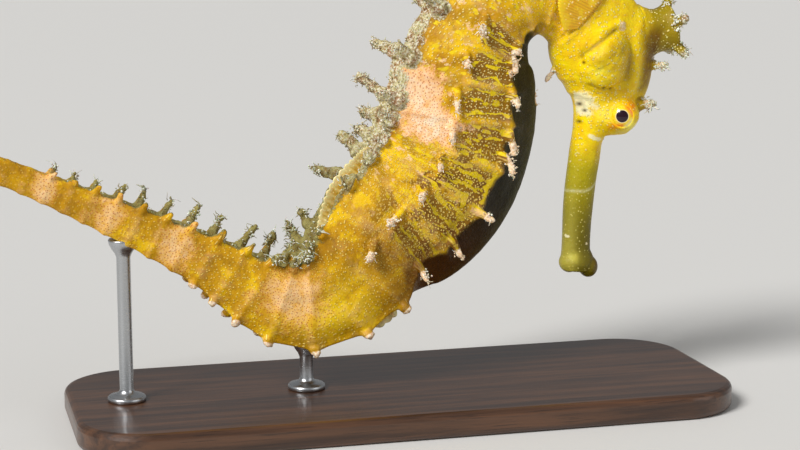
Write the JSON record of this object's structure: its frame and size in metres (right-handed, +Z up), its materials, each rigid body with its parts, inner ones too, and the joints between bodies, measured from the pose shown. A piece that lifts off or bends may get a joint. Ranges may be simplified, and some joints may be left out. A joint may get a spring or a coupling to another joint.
{
  "type": "seahorse",
  "caption": "Life-size tiger-tail seahorse with arched neck, hanging snout, ringed and spined body and curled tail, held level on a low display stand with rods.",
  "frame": {"origin": "centre of the underside of the display stand's base", "axes": "+Z up; the animal's median plane is Y = 0, with its right side towards -Y; +X towards the hanging snout, -X towards the curl of the tail"},
  "size_m": [0.0957, 0.03, 0.0554],
  "materials": {
    "skin": "moist satin skin over bony plates, ochre yellow with fine pale dots, brown bands and pale pink saddles",
    "eye": "glossy, yellow and orange iris round a small black pupil",
    "fin": "thin translucent rayed membrane",
    "base_wood": "dark stained hardwood, satin",
    "rod_steel": "satin"
  },
  "bodies": {
    "root": {"head": "skin", "snout": "skin", "coronet": "skin", "neck": "skin", "trunk_upper": "skin", "trunk_lower": "skin", "tail_root": "skin", "tail_middle": "skin", "tail_far": "skin", "tail_curl_outer": "skin", "tail_curl_inner": "skin", "eye_left": "eye", "eye_right": "eye", "fin_pectoral_left": "fin", "fin_pectoral_right": "fin", "fin_dorsal": "fin", "fin_anal": "fin", "stand_base": "base_wood", "stand_rod_body": "rod_steel", "stand_rod_tail": "rod_steel"}
  },
  "joints": []
}
